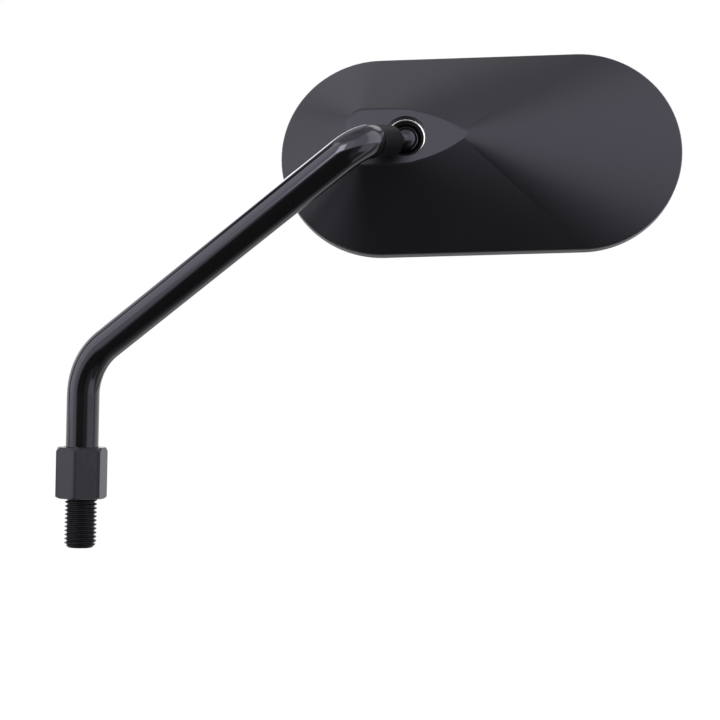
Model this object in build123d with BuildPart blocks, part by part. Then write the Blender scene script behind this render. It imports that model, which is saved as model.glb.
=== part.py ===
from build123d import *
from math import asin, atan2, cos, degrees, radians, sin, sqrt, tan
import os

# Motorcycle mirror, left hand. X points right, Y back to the rider, Z up, in millimetres.
# The origin is on the threaded stud's axis, at the lock nut's lower face.

# Arm: a round steel rod, bent twice, its lower end an M10 x 1.25 thread drawn plain at its pitch diameter
arm_diameter = 10.0
thread_diameter = 9.19
thread_length = 15.1
thread_chamfer = 1.2
lower_bend_height = 41.8
lower_bend_radius = 19.5
arm_reach = 112.7
arm_azimuth = -25.3
arm_rise_angle = 35.0
upper_bend_radius = 7.2
tip_length = 1.0
tip_azimuth = 61.9
tip_rise_angle = 7.0
tip_round = 0.5

# Lock nut: long hexagon nut on the thread
nut_sides = 6
nut_across_flats = 14.0
nut_height = 15.7
nut_turn = 22.0
nut_edge_round = 0.3
nut_top_drop = 1.4
nut_top_angle = 60.0
nut_bottom_drop = 0.55
nut_bottom_angle = 30.0
nut_bore_chamfer = 0.6

# Ball stud and the sleeve that spaces its shoulder from the arm's tip
ball_diameter = 9.5
neck_diameter = 4.0
neck_reach = 9.6
shoulder_diameter = 6.8
shoulder_thickness = 0.9
shank_diameter = 5.0
shank_depth = 5.0
sleeve_diameter = 9.5
sleeve_length = 11.5
sleeve_round = 0.8

# Head: oblong housing, its back raised to a bullet-shaped pad round the socket
head_roll = 2.65
head_pitch = 10.3
head_yaw = 3.4
rim_radius = 31.2
rim_straight = 60.7
rim_wall = 4.6
rim_center = 22.6
rim_back_round = 1.2
rim_front_round = 0.8
back_height = 19.8
pad_half_width = 9.0
pad_left = 17.7
pad_left_radius = 30.0
pad_corner_radius = 5.0
pad_widest = 5.0
pad_tip = 18.5
pad_tip_radius = 2.2
pad_edge_width = 0.6
pad_edge_drop = 0.3
shell_thickness = 2.2
hollow_inset = 1.1

# Socket in the housing, from the pad down to the spring
socket_depth = 5.2
socket_diameter = 12.0
socket_chamfer = 0.2
socket_wall = 2.2
socket_floor = 1.8
cup_floor = 1.15
seat_ring_height = 2.25
seat_ring_chamfer = 0.4
wire_diameter = 0.9
wire_stand_out = 0.25
wire_gap_angle = 58.0
wire_gap_turn = 269.0
spring_height = 1.1
spring_thickness = 0.5
spring_bore_diameter = 5.0

# Glass: convex, on a foam pad that lies on the housing's ledge
glass_radius = 1200.0
glass_thickness = 2.0
glass_set_back = 0.8
glass_margin = 0.2
lip_thickness = 1.5
ledge_width = 3.0
foam_thickness = 0.8
foam_width = 2.6

# Clearances
turning_clearance = 0.05
seat_clearance = 0.05
groove_clearance = 0.1


def heading(azimuth, elevation):
    """Unit vector at an azimuth from +X towards +Y and an elevation above level, in degrees."""
    level = cos(radians(elevation))
    return Vector(
        level * cos(radians(azimuth)), level * sin(radians(azimuth)), sin(radians(elevation))
    )


# Arm's route, and the ball's place past its tip
arm_radius = arm_diameter / 2
arm_direction = heading(arm_azimuth, arm_rise_angle)
tip_direction = heading(tip_azimuth, tip_rise_angle)
lower_corner = Vector(0, 0, lower_bend_height)
upper_corner = lower_corner + arm_direction * arm_reach
upper_turn = arm_direction.get_angle(tip_direction)
upper_tangent = upper_bend_radius * tan(radians(upper_turn / 2))
arm_tip = upper_corner + tip_direction * (upper_tangent + tip_length)
sleeve_space = sleeve_length + 2 * turning_clearance
ball_reach = sleeve_space + shoulder_thickness + neck_reach
ball_center = arm_tip + tip_direction * ball_reach

tip_plane = Plane(origin=arm_tip, z_dir=tip_direction)
stud_plane = Plane(origin=ball_center, z_dir=-tip_direction)

# Head's own frame: X along the oblong, Z out of the back along the socket's axis
back_normal = Vector(0, -1, 0).rotate(Axis.X, -head_pitch).rotate(Axis.Z, -head_yaw)
long_axis = (
    Vector(1, 0, 0).rotate(Axis.Y, -head_roll).rotate(Axis.X, -head_pitch).rotate(Axis.Z, -head_yaw)
)
head_plane = Plane(origin=ball_center, x_dir=long_axis, z_dir=back_normal)
head_axis = Axis(ball_center, back_normal)

# Heights in the head's frame, from the ball's center
pad_top = socket_depth
rim_back = pad_top - back_height
rim_front = rim_back - rim_wall
ball_radius = ball_diameter / 2
cup_bottom = -(ball_radius + cup_floor)
socket_bottom = cup_bottom - turning_clearance - spring_height
wire_radius = wire_diameter / 2
wire_height = seat_ring_height + turning_clearance + wire_radius
glass_ends = rim_straight / 2 + rim_radius - lip_thickness - glass_margin
glass_bulge = glass_radius - sqrt(glass_radius**2 - glass_ends**2)
glass_apex = rim_front + glass_set_back - glass_bulge
ledge = rim_front + glass_set_back + glass_thickness + foam_thickness
edge_turn = degrees(atan2(rim_radius - pad_half_width, back_height - pad_edge_drop))
edge_start = rim_back - rim_back_round * tan(radians(edge_turn / 2))
edge_height = edge_start + rim_back_round * sin(radians(edge_turn))
edge_inset = rim_back_round * (1 - cos(radians(edge_turn)))

# Radii in the socket
socket_radius = socket_diameter / 2
seat_radius = socket_radius - turning_clearance
wire_ring_radius = socket_radius - wire_stand_out
groove_radius = wire_ring_radius + wire_radius + turning_clearance

# The pad's long side arcs are tangent to its straight top and to its rounded tip
tip_arc_x = pad_tip - pad_tip_radius
side_run = tip_arc_x + pad_widest
side_radius = (side_run**2 + pad_half_width**2 - pad_tip_radius**2) / (
    2 * (pad_half_width - pad_tip_radius)
)
tip_angle = degrees(atan2(side_radius - pad_half_width, side_run))
corner_rise = pad_half_width - pad_corner_radius
corner_run = sqrt((pad_left_radius - pad_corner_radius) ** 2 - corner_rise**2)
corner_x = -pad_left + pad_left_radius - corner_run
end_angle = degrees(atan2(corner_rise, corner_run))
top_run = -pad_widest - corner_x
side_length = side_radius * radians(90 - tip_angle)


def rim_outline(inset):
    """Oblong outline of the rim, drawn in by an inset."""
    with BuildSketch() as outline:
        with Locations((rim_center, 0)):
            SlotCenterToCenter(rim_straight, 2 * (rim_radius - inset))
    return outline.sketch


def ruled_rim(inset, height):
    """The rim's outline at a height, split to match the pad's edges: each pair gets one ruled face."""
    radius = rim_radius - inset
    left = rim_center - rim_straight / 2
    right = rim_center + rim_straight / 2
    split = left + rim_straight * top_run / (top_run + side_length)
    edges = [
        Line((left, radius), (split, radius)),
        Line((split, radius), (right, radius)),
        CenterArc((right, 0), radius, 90, -180),
        Line((right, -radius), (split, -radius)),
        Line((split, -radius), (left, -radius)),
        CenterArc((left, 0), radius, -90, end_angle - 90),
        CenterArc((left, 0), radius, end_angle - 180, -2 * end_angle),
        CenterArc((left, 0), radius, 180 - end_angle, end_angle - 90),
    ]
    return head_plane.offset(height) * Face(Wire(edges))


def pad_outline(inset):
    """Bullet shape of the raised pad: straight top, long side arcs, round tip and blunt left end."""
    side = side_radius - inset
    tip = pad_tip_radius - inset
    corner = pad_corner_radius - inset
    end = pad_left_radius - inset
    top = pad_half_width - inset
    side_y = pad_half_width - side_radius
    end_x = -pad_left + pad_left_radius
    with BuildSketch() as outline:
        with BuildLine():
            Line((corner_x, top), (-pad_widest, top))
            CenterArc((-pad_widest, side_y), side, 90, tip_angle - 90)
            CenterArc((tip_arc_x, 0), tip, tip_angle, -2 * tip_angle)
            CenterArc((-pad_widest, -side_y), side, -tip_angle, tip_angle - 90)
            Line((-pad_widest, -top), (corner_x, -top))
            CenterArc((corner_x, -corner_rise), corner, -90, end_angle - 90)
            CenterArc((end_x, 0), end, end_angle - 180, -2 * end_angle)
            CenterArc((corner_x, corner_rise), corner, 180 - end_angle, end_angle - 90)
        make_face()
    return outline.sketch


# Arm
with BuildPart() as arm:
    with BuildLine():
        FilletPolyline(
            (0, 0, 0),
            lower_corner,
            upper_corner,
            arm_tip,
            radius=[lower_bend_radius, upper_bend_radius],
        )
    with BuildSketch():
        Circle(arm_radius)
    sweep()
    with BuildSketch():
        Circle(thread_diameter / 2)
    extrude(amount=-thread_length)
    chamfer(arm.edges().sort_by(Axis.Z)[0], thread_chamfer)
    fillet(arm.edges().filter_by(GeomType.CIRCLE).sort_by_distance(arm_tip)[0], tip_round)
    with Locations(tip_plane):
        Hole(shank_diameter / 2, depth=shank_depth)

# Lock nut
nut_radius = nut_across_flats / 2 / cos(radians(180 / nut_sides))
nut_top_radius = nut_radius - nut_top_drop / tan(radians(nut_top_angle))
nut_bottom_radius = nut_radius - nut_bottom_drop / tan(radians(nut_bottom_angle))
with BuildPart() as lock_nut:
    with BuildSketch():
        RegularPolygon(nut_radius, nut_sides, rotation=nut_turn)
    extrude(amount=nut_height)
    fillet(lock_nut.edges().filter_by(Axis.Z), nut_edge_round)
    with BuildSketch(Plane.XZ):
        with BuildLine():
            Polyline(
                (0, 0),
                (nut_bottom_radius, 0),
                (nut_radius, nut_bottom_drop),
                (nut_radius, nut_height - nut_top_drop),
                (nut_top_radius, nut_height),
                (0, nut_height),
                close=True,
            )
        make_face()
    revolve(axis=Axis.Z, mode=Mode.INTERSECT)
    Hole(arm_radius + turning_clearance)
    bore_edges = lock_nut.edges().filter_by(GeomType.CIRCLE).group_by(SortBy.RADIUS)[0]
    chamfer(bore_edges, nut_bore_chamfer)

# Sleeve, loose on the shank between the arm's tip and the ball stud's shoulder
with BuildPart() as sleeve:
    with BuildSketch(stud_plane.offset(neck_reach + shoulder_thickness + turning_clearance)):
        Circle(sleeve_diameter / 2)
        Circle(shank_diameter / 2 + turning_clearance, mode=Mode.SUBTRACT)
    extrude(amount=sleeve_length)
    fillet(sleeve.edges().filter_by(GeomType.CIRCLE).group_by(SortBy.RADIUS)[-1], sleeve_round)

# Ball stud, its shank screwed into the arm's tip
with BuildPart() as ball_stud:
    with Locations(stud_plane):
        Sphere(ball_radius)
    with BuildSketch(stud_plane):
        Circle(neck_diameter / 2)
    extrude(amount=neck_reach)
    with BuildSketch(stud_plane.offset(neck_reach)):
        Circle(shoulder_diameter / 2)
    extrude(amount=shoulder_thickness)
    with BuildSketch(stud_plane.offset(neck_reach + shoulder_thickness)):
        Circle(shank_diameter / 2)
    extrude(amount=sleeve_space + shank_depth)

# Housing: the rim's rounded back edge turns to the slope of the flat panels, where the ruled back starts
back_rim = ruled_rim(edge_inset, edge_height)
back_edge = head_plane.offset(pad_top - pad_edge_drop) * pad_outline(0)
back_pad = head_plane.offset(pad_top) * pad_outline(pad_edge_width)
hollow_rim = ruled_rim(lip_thickness + ledge_width, ledge)
hollow_pad = head_plane.offset(pad_top - shell_thickness) * pad_outline(hollow_inset)
with BuildPart() as housing:
    with BuildSketch(head_plane.offset(rim_front)):
        add(rim_outline(0))
    extrude(amount=edge_start + rim_back_round - rim_front)
    fillet(housing.faces().sort_by(head_axis)[-1].edges(), rim_back_round)
    split(bisect_by=head_plane.offset(edge_height), keep=Keep.BOTTOM)
    loft([back_rim, back_edge, back_pad], ruled=True)
    front_edges = housing.faces().sort_by(head_axis)[0].edges()
    fillet(front_edges, rim_front_round)
    # Hollow behind the glass, with a step for the foam pad
    with BuildSketch(head_plane.offset(rim_front)):
        add(rim_outline(lip_thickness))
    extrude(amount=ledge - rim_front, mode=Mode.SUBTRACT)
    loft([hollow_rim, hollow_pad], ruled=True, mode=Mode.SUBTRACT)
    # Socket boss inside, then the socket with the snap ring's groove
    with BuildSketch(head_plane.offset(socket_bottom - socket_floor)):
        Circle(socket_radius + socket_wall)
    extrude(amount=pad_top - socket_bottom + socket_floor)
    with BuildSketch(head_plane.offset(socket_bottom)):
        Circle(socket_radius)
    extrude(amount=pad_top - socket_bottom, mode=Mode.SUBTRACT)
    mouth_center = head_plane.offset(pad_top).origin
    mouth = housing.edges().filter_by(GeomType.CIRCLE).sort_by_distance(mouth_center)[0]
    chamfer(mouth, socket_chamfer)
    with BuildSketch(head_plane.offset(wire_height - wire_radius - groove_clearance)):
        Circle(groove_radius)
    extrude(amount=wire_diameter + 2 * groove_clearance, mode=Mode.SUBTRACT)

# Ball seats, which turn in the socket
with BuildPart() as seat_cup:
    with BuildSketch(head_plane.offset(cup_bottom)):
        Circle(seat_radius)
    extrude(amount=-cup_bottom)
    with Locations(head_plane):
        Sphere(ball_radius + seat_clearance, mode=Mode.SUBTRACT)

with BuildPart() as seat_ring:
    with BuildSketch(head_plane):
        Circle(seat_radius)
    extrude(amount=seat_ring_height)
    with Locations(head_plane):
        Sphere(ball_radius + seat_clearance, mode=Mode.SUBTRACT)
    top_edges = seat_ring.faces().sort_by(head_axis)[-1].edges()
    chamfer(top_edges.sort_by(SortBy.RADIUS)[0], seat_ring_chamfer)

# Snap ring of round wire, open at one side
wire_start = head_plane.offset(wire_height)
with BuildPart() as snap_ring:
    with BuildLine(wire_start):
        CenterArc(
            (0, 0), wire_ring_radius, wire_gap_turn + wire_gap_angle / 2, 360 - wire_gap_angle
        )
    with BuildSketch(snap_ring.pending_edges[0] ^ 0):
        Circle(wire_radius)
    sweep()

# Disc spring under the cup
with BuildPart() as disc_spring:
    with BuildSketch(Plane(head_plane.origin, x_dir=long_axis, z_dir=-head_plane.y_dir)):
        with BuildLine():
            Polyline(
                (seat_radius - 2 * turning_clearance, socket_bottom),
                (seat_radius - 2 * turning_clearance, socket_bottom + spring_thickness),
                (spring_bore_diameter / 2, socket_bottom + spring_height),
                (spring_bore_diameter / 2, socket_bottom + spring_height - spring_thickness),
                close=True,
            )
        make_face()
    revolve(axis=head_axis)

# Mirror glass and its foam pad, both cut to the curve of the glass by a section turned about its axis
glass_plane = Plane(
    head_plane.from_local_coords((rim_center, 0, 0)), x_dir=long_axis, z_dir=-head_plane.y_dir
)
glass_axis = Axis(glass_plane.origin, back_normal)
curve_center = (0, glass_apex + glass_radius)
back_radius = glass_radius - glass_thickness
cap_reach = glass_ends + lip_thickness
cap_angle = degrees(asin(cap_reach / back_radius))
with BuildPart() as mirror_glass:
    with BuildSketch(head_plane.offset(glass_apex)):
        add(rim_outline(lip_thickness + glass_margin))
    extrude(amount=ledge - glass_apex)
    with BuildSketch(glass_plane):
        with BuildLine():
            face = CenterArc(curve_center, glass_radius, -90, cap_angle)
            back = CenterArc(curve_center, back_radius, -90, cap_angle)
            Line(face @ 1, back @ 1)
            Line(back @ 0, face @ 0)
        make_face()
    revolve(axis=glass_axis, mode=Mode.INTERSECT)

with BuildPart() as glass_pad:
    with BuildSketch(head_plane.offset(glass_apex)):
        add(rim_outline(lip_thickness + glass_margin))
        add(rim_outline(lip_thickness + glass_margin + foam_width), mode=Mode.SUBTRACT)
    extrude(amount=ledge - glass_apex)
    with BuildSketch(glass_plane):
        with BuildLine():
            back = CenterArc(curve_center, back_radius, -90, cap_angle)
            Polyline(back @ 1, (cap_reach, ledge + foam_thickness), (0, ledge + foam_thickness), back @ 0)
        make_face()
    revolve(axis=glass_axis, mode=Mode.INTERSECT)

pieces = {
    "arm": arm,
    "lock_nut": lock_nut,
    "sleeve": sleeve,
    "ball_stud": ball_stud,
    "housing": housing,
    "seat_cup": seat_cup,
    "seat_ring": seat_ring,
    "snap_ring": snap_ring,
    "disc_spring": disc_spring,
    "mirror_glass": mirror_glass,
    "glass_pad": glass_pad,
}
os.makedirs("parts", exist_ok=True)
for name, piece in pieces.items():
    piece.part.label = name
    export_step(piece.part, f"parts/{name}.step")
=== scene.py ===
from math import cos, pi, radians, sin, sqrt

import bpy
from mathutils import Matrix, Vector


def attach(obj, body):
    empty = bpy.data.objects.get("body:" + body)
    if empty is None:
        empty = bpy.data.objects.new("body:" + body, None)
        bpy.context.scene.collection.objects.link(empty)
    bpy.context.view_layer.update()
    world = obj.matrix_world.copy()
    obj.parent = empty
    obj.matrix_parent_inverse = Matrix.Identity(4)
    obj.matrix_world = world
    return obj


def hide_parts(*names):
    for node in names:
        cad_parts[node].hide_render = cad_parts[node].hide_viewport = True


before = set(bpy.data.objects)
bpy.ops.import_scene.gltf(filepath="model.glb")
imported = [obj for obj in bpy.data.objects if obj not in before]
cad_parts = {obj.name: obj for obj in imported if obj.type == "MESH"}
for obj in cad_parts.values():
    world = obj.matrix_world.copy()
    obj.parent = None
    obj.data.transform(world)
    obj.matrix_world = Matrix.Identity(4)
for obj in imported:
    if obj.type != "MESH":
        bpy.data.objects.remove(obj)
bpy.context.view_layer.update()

scene = bpy.context.scene
scene.view_settings.view_transform = "Standard"

MM = 0.001


class Wire:
    """A node's output that takes part in arithmetic; each operation adds a Math node."""

    def __init__(self, tree, socket):
        self.tree = tree
        self.socket = socket

    def maths(self, operation, *values):
        settings = {"operation": operation}
        return self.tree.node("ShaderNodeMath", settings, dict(enumerate(values)))["Value"]

    def __add__(self, other):
        return self.maths("ADD", self, other)

    def __radd__(self, other):
        return self.maths("ADD", other, self)

    def __sub__(self, other):
        return self.maths("SUBTRACT", self, other)

    def __rsub__(self, other):
        return self.maths("SUBTRACT", other, self)

    def __mul__(self, other):
        return self.maths("MULTIPLY", self, other)

    def __rmul__(self, other):
        return self.maths("MULTIPLY", other, self)

    def __neg__(self):
        return self.maths("MULTIPLY", self, -1.0)

    def larger(self, other):
        return self.maths("MAXIMUM", self, other)

    def step(self, low, high):
        """0 below low, 1 above high, smooth between."""
        settings = {"interpolation_type": "SMOOTHSTEP"}
        sockets = {"Value": self, "From Min": low, "From Max": high}
        return self.tree.node("ShaderNodeMapRange", settings, sockets)["Result"]

    def window(self, low, high, soft):
        """1 between low and high, with soft ends."""
        return self.step(low - soft, low + soft) * (1 - self.step(high - soft, high + soft))


class Outputs:
    """A new node's outputs by name or number."""

    def __init__(self, tree, node):
        self.tree = tree
        self.made = node

    def __getitem__(self, key):
        return Wire(self.tree, self.made.outputs[key])


class Tree:
    """Node tree of a material or a world, emptied and ready for new nodes."""

    def __init__(self, owner):
        owner.use_nodes = True
        self.tree = owner.node_tree
        self.tree.nodes.clear()

    def node(self, kind, settings=None, sockets=None):
        made = self.tree.nodes.new(kind)
        for name, value in (settings or {}).items():
            setattr(made, name, value)
        for key, value in (sockets or {}).items():
            if isinstance(value, Wire):
                self.tree.links.new(value.socket, made.inputs[key])
            else:
                made.inputs[key].default_value = value
        return Outputs(self, made)

    def blend(self, factor, first, second):
        settings = {"data_type": "RGBA"}
        return self.node("ShaderNodeMix", settings, {0: factor, 6: first, 7: second})[2]

    def noise(self, place, scale, detail=2.0, roughness=0.5):
        sockets = {"Vector": place, "Scale": scale, "Detail": detail, "Roughness": roughness}
        return self.node("ShaderNodeTexNoise", None, sockets)["Fac"]

    def bump(self, height, distance, strength=1.0):
        sockets = {"Height": height, "Distance": distance, "Strength": strength}
        return self.node("ShaderNodeBump", None, sockets)["Normal"]

    def axes(self, place):
        return self.node("ShaderNodeSeparateXYZ", None, {"Vector": place})

    def off_stud_axis(self, place):
        """Distance from the Z axis, which is the stud's."""
        parts = self.axes(place)
        x, y = parts["X"], parts["Y"]
        squares = x * x + y * y
        return squares.maths("SQRT", squares)


def finish_material(name, build):
    """A new material whose Principled shader takes the sockets that build gives."""
    material = bpy.data.materials.new(name)
    tree = Tree(material)
    place = tree.node("ShaderNodeTexCoord")["Object"]
    shader = tree.node("ShaderNodeBsdfPrincipled", None, build(tree, place))
    tree.node("ShaderNodeOutputMaterial", None, {"Surface": shader["BSDF"]})
    return material


def dress(piece, name, build):
    """Gives a piece one new finish in place of what it has."""
    piece.data.materials.clear()
    piece.data.materials.append(finish_material(name, build))


def grey(value, warm=0.0):
    return (value * (1 + warm), value, value * (1 - warm), 1)


# Finishes. The black coats give back light a little cool.
COOL = (0.88, 0.86, 1.0, 1)
WHITE = grey(1.0)

# Zones of the nut and the thread, by distance from the stud's axis or by height; the nut's corner
# and chamfer zones carry painted shade
NUT_CORNER_SHADE = (7.55 * MM, 7.8 * MM)
NUT_CHAMFER_SHADE = (14.9 * MM, 15.5 * MM)
NUT_LOWER_RIM = (0.05 * MM, 0.35 * MM)
THREAD_CREST_ZONE = (4.2 * MM, 4.85 * MM)


def gloss_black(tree, place):
    """Deep gloss paint on the arm, with a faint orange peel and slow changes of gloss."""
    peel = tree.noise(place, 420, 2.0)
    cloud = tree.noise(place, 150, 2.0)
    return {
        "Base Color": tree.blend(cloud, grey(0.0030, 0.08), grey(0.0042, 0.08)),
        "Roughness": 0.08 + cloud * 0.03,
        "Specular IOR Level": 0.8,
        "Specular Tint": COOL,
        "Normal": tree.bump(peel, 0.004 * MM),
    }


def satin_black(tree, place):
    """Satin plating of the nut: rubbed spots, painted shade on the corners and the chamfer, a
    worn lower rim.
    """
    rubbed = tree.noise(place, 900, 4.0, 0.65)
    grain = tree.noise(place, 5200, 2.0)
    height = tree.axes(place)["Z"]
    # Painted shade: the hex corners and the chamfer are darkened in the colour, not by the light.
    corner_shade = tree.off_stud_axis(place).step(*NUT_CORNER_SHADE)
    chamfer = height.step(*NUT_CHAMFER_SHADE)
    worn = (1 - height.step(*NUT_LOWER_RIM)) * rubbed.step(0.25, 0.7)
    plating = tree.blend(rubbed.step(0.4, 0.75), grey(0.008), grey(0.015))
    shaded = tree.blend(corner_shade.larger(chamfer), plating, grey(0.002))
    return {
        "Base Color": tree.blend(worn, shaded, grey(0.05)),
        "Roughness": 0.28 + rubbed * 0.12,
        "Specular IOR Level": 0.6,
        "Specular Tint": COOL,
        "Normal": tree.bump(grain + rubbed * 0.6, 0.012 * MM),
    }


def thread_black(tree, place):
    """Thread, lighter in patches on the crests and darker in the roots."""
    crest = tree.off_stud_axis(place).step(*THREAD_CREST_ZONE)
    spots = tree.noise(place, 1500, 3.0, 0.6)
    return {
        "Base Color": tree.blend(crest * (0.35 + 0.65 * spots), grey(0.003), grey(0.014)),
        "Roughness": 0.32 + spots * 0.15,
        "Specular IOR Level": 0.25,
        "Specular Tint": COOL,
        "Normal": tree.bump(spots, 0.01 * MM),
    }


def matt_black(tree, place):
    """Matt sleeve with a fine moulded skin."""
    skin = tree.noise(place, 3800, 3.0, 0.6)
    return {
        "Base Color": tree.blend(skin, grey(0.0025), grey(0.0045)),
        "Roughness": 0.42 + skin * 0.1,
        "Specular IOR Level": 0.13,
        "Specular Tint": COOL,
        "Normal": tree.bump(skin, 0.02 * MM),
    }


def housing_black(tree, place):
    """Satin moulded plastic with a fine spark-eroded skin and broad, faint unevenness."""
    skin = tree.noise(place, 5000, 3.0, 0.65)
    cloud = tree.noise(place, 60, 2.0)
    return {
        "Base Color": tree.blend(cloud, (0.0038, 0.0037, 0.0040, 1), (0.0048, 0.0047, 0.0050, 1)),
        "Roughness": 0.33 + cloud * 0.05 + skin * 0.06,
        "Specular IOR Level": 0.72,
        "Specular Tint": COOL,
        "Normal": tree.bump(skin, 0.010 * MM),
    }


def ball_black(tree, place):
    """Blacked and polished ball and stud, with a film of grease."""
    film = tree.noise(place, 1200, 3.0, 0.6)
    return {
        "Base Color": tree.blend(film, grey(0.003), grey(0.007)),
        "Roughness": 0.12 + film * 0.12,
        "Specular IOR Level": 0.8,
        "Specular Tint": COOL,
    }


def seat_black(tree, place):
    """Greased plastic of the ball seats."""
    grease = tree.noise(place, 1600, 3.0, 0.6)
    return {
        "Base Color": tree.blend(grease, grey(0.002), grey(0.005)),
        "Roughness": 0.4 + grease * 0.2,
        "Specular IOR Level": 0.12,
    }


def bright_wire(tree, place):
    """Drawn spring wire, bright along its length."""
    drawn = tree.noise(place, 2400, 2.0, 0.5)
    return {
        "Base Color": tree.blend(drawn, grey(0.62), grey(0.78)),
        "Metallic": 1.0,
        "Roughness": 0.2 + drawn * 0.1,
    }


def spring_steel(tree, place):
    """Plain spring steel."""
    brushed = tree.noise(place, 3000, 2.0, 0.5)
    return {
        "Base Color": tree.blend(brushed, grey(0.35), grey(0.5)),
        "Metallic": 1.0,
        "Roughness": 0.32 + brushed * 0.15,
    }


def silvered_glass(tree, place):
    """Silvered convex glass, with a trace of dust."""
    dust = tree.noise(place, 1800, 4.0, 0.7).step(0.6, 0.9)
    return {
        "Base Color": tree.blend(dust, (0.80, 0.83, 0.85, 1), (0.74, 0.76, 0.77, 1)),
        "Metallic": 1.0,
        "Roughness": 0.012 + dust * 0.05,
    }


def foam_black(tree, place):
    """Black foam tape."""
    cells = tree.node("ShaderNodeTexVoronoi", None, {"Vector": place, "Scale": 2600})["Distance"]
    return {
        "Base Color": tree.blend(cells, grey(0.008), grey(0.022)),
        "Roughness": 0.85,
        "Normal": tree.bump(cells, 0.05 * MM),
    }


FINISHES = {
    "arm": gloss_black,
    "lock_nut": satin_black,
    "sleeve": matt_black,
    "ball_stud": ball_black,
    "housing": housing_black,
    "seat_cup": seat_black,
    "seat_ring": seat_black,
    "snap_ring": bright_wire,
    "disc_spring": spring_steel,
    "mirror_glass": silvered_glass,
    "glass_pad": foam_black,
}
for node, build in FINISHES.items():
    dress(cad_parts[node], node + "_finish", build)


# Modelling helpers
WELD = 0.0005 * MM
SMOOTH_ANGLE = radians(30)


def select_only(piece):
    bpy.ops.object.select_all(action="DESELECT")
    piece.select_set(True)
    bpy.context.view_layer.objects.active = piece


def edit_all(piece):
    """Edit mode on one piece, with all of it selected."""
    select_only(piece)
    bpy.ops.object.mode_set(mode="EDIT")
    bpy.ops.mesh.select_all(action="SELECT")


def apply_modifier(piece, kind, **settings):
    modifier = piece.modifiers.new(kind.lower(), kind)
    for name, value in settings.items():
        setattr(modifier, name, value)
    select_only(piece)
    bpy.ops.object.modifier_apply(modifier=modifier.name)


def solid_copy(node, name):
    """A welded copy of a solid, left in edit mode with everything selected."""
    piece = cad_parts[node].copy()
    piece.data = piece.data.copy()
    piece.name = name
    piece.parent = None
    for key in list(piece.keys()):
        del piece[key]
    scene.collection.objects.link(piece)
    edit_all(piece)
    bpy.ops.mesh.remove_doubles(threshold=WELD)
    bpy.ops.mesh.select_all(action="SELECT")
    return piece


# Thread: one pitch of the M10 profile, screwed up the axis past both ends of the stud
# and cut to the stud's chamfered form
THREAD_END = -15.1 * MM
THREAD_TOP = 14.4 * MM
PITCH = 1.25 * MM
CREST = 4.9 * MM
ROOT = 4.13 * MM
CREST_FLAT = 0.18 * MM
ROOT_FLAT = 0.26 * MM
END_CHAMFER = 1.2 * MM
LEAD_IN = 2 * PITCH
SPARE_TURNS = 5
OVERRUN = PITCH / 2
THREAD_STEPS = 64
THREAD_WELD = 0.001 * MM
THREAD_SMOOTH = radians(25)
FORM_RADIUS = 5.2 * MM
FORM_SIDES = 96


def screwed_profile(name):
    """The endless thread, closed by a flat face a little past each end of the stud."""
    bpy.ops.object.select_all(action="DESELECT")
    bpy.ops.mesh.primitive_plane_add(size=1)
    screw = bpy.context.object
    screw.name = name
    flank = (PITCH - CREST_FLAT - ROOT_FLAT) / 2
    low = THREAD_END - LEAD_IN
    profile = [
        (ROOT, 0, low),
        (ROOT, 0, low + ROOT_FLAT),
        (CREST, 0, low + ROOT_FLAT + flank),
        (CREST, 0, low + ROOT_FLAT + flank + CREST_FLAT),
        (ROOT, 0, low + PITCH),
    ]
    edges = [(i, i + 1) for i in range(len(profile) - 1)]
    screw.data.clear_geometry()
    screw.data.from_pydata(profile, edges, [])
    turns = int((THREAD_TOP - THREAD_END) / PITCH) + SPARE_TURNS
    apply_modifier(
        screw, "SCREW", axis="Z", screw_offset=PITCH, iterations=turns,
        steps=THREAD_STEPS, render_steps=THREAD_STEPS,
        use_merge_vertices=True, merge_threshold=THREAD_WELD, use_smooth_shade=False,
    )
    edit_all(screw)
    bpy.ops.mesh.remove_doubles(threshold=THREAD_WELD)
    for height, outer in ((THREAD_END - OVERRUN, False), (THREAD_TOP + OVERRUN, True)):
        bpy.ops.mesh.select_all(action="SELECT")
        bpy.ops.mesh.bisect(
            plane_co=(0, 0, height), plane_no=(0, 0, 1), use_fill=True,
            clear_inner=not outer, clear_outer=outer,
        )
    bpy.ops.mesh.select_all(action="SELECT")
    bpy.ops.mesh.normals_make_consistent(inside=False)
    bpy.ops.object.mode_set(mode="OBJECT")
    return screw


def stud_form():
    """A plain cylinder of the stud's length, chamfered at its lower end."""
    middle = (THREAD_TOP + THREAD_END) / 2
    bpy.ops.object.select_all(action="DESELECT")
    bpy.ops.mesh.primitive_cylinder_add(
        vertices=FORM_SIDES, radius=FORM_RADIUS, depth=THREAD_TOP - THREAD_END,
        location=(0, 0, middle),
    )
    form = bpy.context.object
    bpy.ops.object.transform_apply(location=True, rotation=True, scale=True)
    bpy.ops.object.mode_set(mode="EDIT")
    bpy.ops.mesh.select_all(action="DESELECT")
    bpy.ops.object.mode_set(mode="OBJECT")
    for edge in form.data.edges:
        edge.select = all(form.data.vertices[i].co.z < middle for i in edge.vertices)
    bpy.ops.object.mode_set(mode="EDIT")
    bpy.ops.mesh.bevel(offset=END_CHAMFER + FORM_RADIUS - CREST, segments=1, affect="EDGES")
    bpy.ops.object.mode_set(mode="OBJECT")
    return form


def threaded_stud():
    """The thread cut to the stud's form, with the cut's doubled points joined."""
    stud = screwed_profile("threaded_stud")
    form = stud_form()
    apply_modifier(stud, "BOOLEAN", operation="INTERSECT", object=form, solver="EXACT")
    bpy.data.objects.remove(form)
    edit_all(stud)
    bpy.ops.mesh.remove_doubles(threshold=THREAD_WELD)
    bpy.ops.object.mode_set(mode="OBJECT")
    bpy.ops.object.shade_smooth_by_angle(angle=THREAD_SMOOTH)
    return stud


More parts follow.
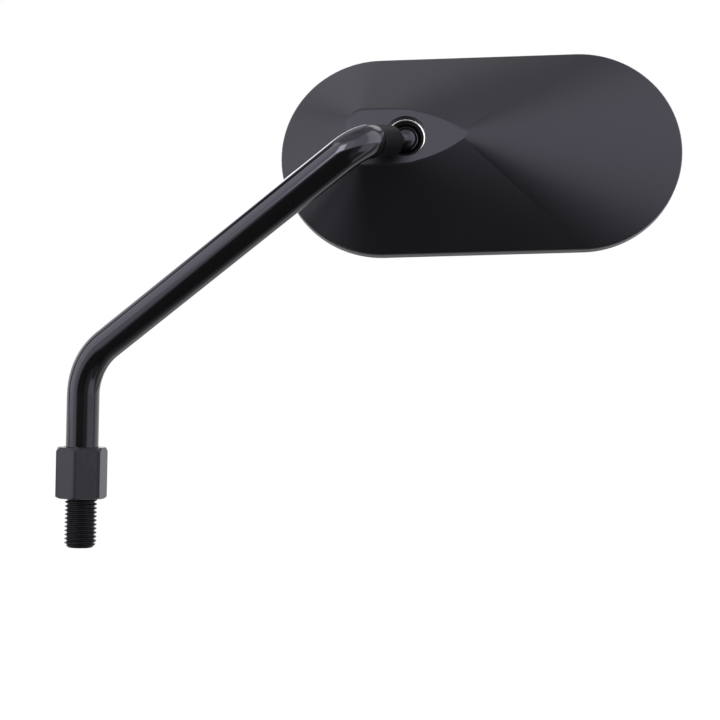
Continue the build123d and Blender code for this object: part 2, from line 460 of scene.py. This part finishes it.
# Arm: its paint ends in a rounded lip along a slanting plane past the upper bend.
# Beyond the lip, the solid's end carries the sleeve's matt skin, sunk a little.
# The rings are shares of the lip's width, counted back from its plane.
LIP_PLACE = Vector((91.0, -37.0, 106.41)) * MM
LIP_SIDE = Vector((0.9417, 0.0337, -0.3348))
LIP_ROUND = 2.0 * MM
LIP_WIDTH = 1.6 * MM
LIP_RINGS = (1.0, 0.8, 0.62, 0.46, 0.32, 0.2, 0.1, 0.0)
LIP_DROP = LIP_ROUND - sqrt(LIP_ROUND**2 - LIP_WIDTH**2)
SKIN_DEPTH = 0.5 * MM


def lip_weight(place):
    """0 before the lip's round, 1 at its plane, along an arc between."""
    run = LIP_WIDTH + (place - LIP_PLACE).dot(LIP_SIDE)
    run = min(max(run, 0), LIP_WIDTH)
    return (LIP_ROUND - sqrt(LIP_ROUND**2 - run**2)) / LIP_DROP


def painted_rod():
    """The arm above its thread, cut in rings near the lip and drawn in there to a round."""
    rod = solid_copy("arm", "arm_rod")
    bpy.ops.mesh.bisect(
        plane_co=(0, 0, THREAD_TOP), plane_no=(0, 0, 1), use_fill=True, clear_inner=True
    )
    for share in LIP_RINGS:
        last = share == 0
        bpy.ops.mesh.select_all(action="SELECT")
        place = LIP_PLACE - LIP_SIDE * LIP_WIDTH * share
        bpy.ops.mesh.bisect(plane_co=place, plane_no=LIP_SIDE, use_fill=last, clear_outer=last)
    bpy.ops.object.mode_set(mode="OBJECT")
    lip = rod.vertex_groups.new(name="lip")
    for point in rod.data.vertices:
        lip.add([point.index], lip_weight(point.co), "REPLACE")
    apply_modifier(
        rod, "DISPLACE", direction="NORMAL", mid_level=0, strength=-LIP_DROP, vertex_group="lip"
    )
    rod.vertex_groups.clear()
    edit_all(rod)
    bpy.ops.mesh.normals_make_consistent(inside=False)
    bpy.ops.object.mode_set(mode="OBJECT")
    bpy.ops.object.shade_smooth_by_angle(angle=SMOOTH_ANGLE)
    return rod


def covered_end():
    """The solid's end under and past the lip, drawn in to the skin's depth."""
    end = solid_copy("arm", "arm_end")
    place = LIP_PLACE - LIP_SIDE * LIP_WIDTH
    bpy.ops.mesh.bisect(plane_co=place, plane_no=LIP_SIDE, use_fill=True, clear_inner=True)
    bpy.ops.mesh.select_all(action="SELECT")
    bpy.ops.transform.shrink_fatten(value=-SKIN_DEPTH)
    bpy.ops.object.mode_set(mode="OBJECT")
    bpy.ops.object.shade_smooth_by_angle(angle=SMOOTH_ANGLE)
    return end


rod = painted_rod()
end = covered_end()
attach(rod, "arm")
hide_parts("arm")
dress(end, "arm_end_finish", matt_black)
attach(end, "arm")
stud = threaded_stud()
dress(stud, "thread_finish", thread_black)
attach(stud, "arm")


# Glass: a welded copy, so that its convex face turns evenly through the middle
def glass_plate():
    plate = solid_copy("mirror_glass", "glass_plate")
    bpy.ops.object.mode_set(mode="OBJECT")
    bpy.ops.mesh.customdata_custom_splitnormals_clear()
    bpy.ops.object.shade_smooth_by_angle(angle=SMOOTH_ANGLE)
    return plate


plate = glass_plate()
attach(plate, "head")
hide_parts("mirror_glass")

# Studio: soft panels all round as a world of light. Bearings are degrees from the camera's
# side, growing to the right; heights are degrees above the level. The front panels end at
# FRONT_TOP, which climbs by TOP_CLIMB to the right, and the ceiling goes on from there.
FRONT_TOP = (38, 44)
TOP_CLIMB = 18
CEILING_END = (68, 80)
ROOM_LIGHT = (0.985, 0.975, 1.03, 1)
DIM = 0.05
world = bpy.data.worlds.new("studio")
scene.world = world
sky = Tree(world)
toward = sky.axes(sky.node("ShaderNodeTexCoord")["Generated"])
east, north, rise = toward["X"], toward["Y"], toward["Z"]
bearing = east.maths("ARCTAN2", east, -north) * (180 / pi)
height = rise.maths("ARCSINE", rise) * (180 / pi)
climbed = height - bearing.step(0, 60) * TOP_CLIMB
ceiling = climbed.step(*FRONT_TOP)
front = height.step(-1, 3) * (1 - ceiling)
top = height.step(*CEILING_END)
panels = {
    "key": (4.4, bearing.window(-45, -20, 2.5) * height.window(5, 31, 3)),
    "front_left": (1.45, bearing.window(-62, 10, 6) * front),
    "front_right": (1.16, bearing.window(10, 58, 6) * front),
    "right": (1.9, bearing.window(58, 108, 6) * front),
    "left": (
        1.66, bearing.window(-100, -62, 4) * height.step(-6, 6) * (1 - height.step(43, 49))
    ),
    "left_low": (
        1.0, bearing.window(-100, -38, 6) * height.step(-66, -12) * (1 - height.step(-2, 6))
    ),
    "low_front": (0.14, bearing.window(14, 42, 8) * height.window(-42, 0, 6)),
    "low_right": (1.0, bearing.window(42, 108, 8) * height.window(-30, 1, 6)),
    "deep_right": (0.1, bearing.window(30, 72, 8) * height.window(-56, -30, 6)),
    "deep_side": (0.7, bearing.window(72, 125, 8) * height.window(-60, -30, 6)),
    "ceiling": (0.69, bearing.window(-112, 30, 6) * ceiling * (1 - top)),
    "ceiling_right": (0.66, bearing.window(30, 112, 6) * ceiling * (1 - top)),
    "top": (0.46, top),
    "back_left_high": (0.83, (1 - bearing.step(-120, -108)) * height.window(41, 74, 4)),
    "back_right_high": (0.45, bearing.step(108, 116) * height.window(37, 74, 4)),
    "backdrop_left": (1.1, (1 - bearing.step(-113, -108)) * height.window(-14, 33, 3)),
    "backdrop_right": (0.9, bearing.step(108, 114) * height.window(-14, 33, 4)),
    "rim": (2.0, (1 - bearing.step(-146, -138)) * height.window(12, 35, 4)),
    "rim_high": (1.4, bearing.window(127, 170, 5) * height.window(40, 55, 4)),
}
glow = sum(mask * strength for strength, mask in panels.values()) + DIM
seen = sky.node("ShaderNodeLightPath")["Is Camera Ray"]
room = sky.node("ShaderNodeBackground", None, {"Color": ROOM_LIGHT, "Strength": glow})
blank = sky.node("ShaderNodeBackground", None, {"Color": WHITE, "Strength": 1.0})
shaders = {0: seen, 1: room["Background"], 2: blank["Background"]}
whole = sky.node("ShaderNodeMixShader", None, shaders)["Shader"]
sky.node("ShaderNodeOutputWorld", None, {"Surface": whole})

# Floor: matt to the light and white to the camera. In reflections it is white only behind
# the part, from BRIGHT_FROM on in Y, with a calmer strip across.
FLOOR_SIZE = 6
FLOOR_PLACE = (0, 2.97, -0.068)
FLOOR_GREY = 0.82
FLOOR_WHITE = 1.04
BRIGHT_FROM = (-0.04, 0.16)
CALM_STRIP = (0.17, 0.32, 0.05)
CALM_SHARE = 0.92
WHITE_SHARE = 0.9
bpy.ops.object.select_all(action="DESELECT")
bpy.ops.mesh.primitive_plane_add(size=FLOOR_SIZE, location=FLOOR_PLACE)
floor = bpy.context.object
floor.name = "floor"
bpy.ops.object.transform_apply(location=True, rotation=True, scale=True)
pale = bpy.data.materials.new("pale_floor")
tree = Tree(pale)
path = tree.node("ShaderNodeLightPath")
back = tree.axes(tree.node("ShaderNodeTexCoord")["Object"])["Y"]
mirrored = path["Is Glossy Ray"].larger(path["Is Transmission Ray"])
bright = back.step(*BRIGHT_FROM) - back.window(*CALM_STRIP) * CALM_SHARE
shown = path["Is Camera Ray"] * FLOOR_WHITE + mirrored * bright
matt = tree.node("ShaderNodeBsdfDiffuse", None, {"Color": grey(FLOOR_GREY)})["BSDF"]
white = tree.node("ShaderNodeEmission", None, {"Color": WHITE, "Strength": shown})["Emission"]
seen = path["Is Camera Ray"].larger(mirrored)
shaders = {0: seen * WHITE_SHARE, 1: matt, 2: white}
surface = tree.node("ShaderNodeMixShader", None, shaders)["Shader"]
tree.node("ShaderNodeOutputMaterial", None, {"Surface": surface})
floor.data.materials.append(pale)

# Camera, level and looking along +Y, rolled a little about its own axis
CAMERA_X, CAMERA_Y, CAMERA_Z = 0.08491, -0.523, 0.04424
ROLL = radians(1.2)
lens = bpy.data.cameras.new("camera")
lens.lens = 85
lens.sensor_width = 36
camera = bpy.data.objects.new("camera", lens)
camera.matrix_world = Matrix((
    (cos(ROLL), -sin(ROLL), 0, CAMERA_X),
    (0, 0, -1, CAMERA_Y),
    (sin(ROLL), cos(ROLL), 0, CAMERA_Z),
    (0, 0, 0, 1),
))
scene.collection.objects.link(camera)
scene.camera = camera

bpy.context.view_layer.update()
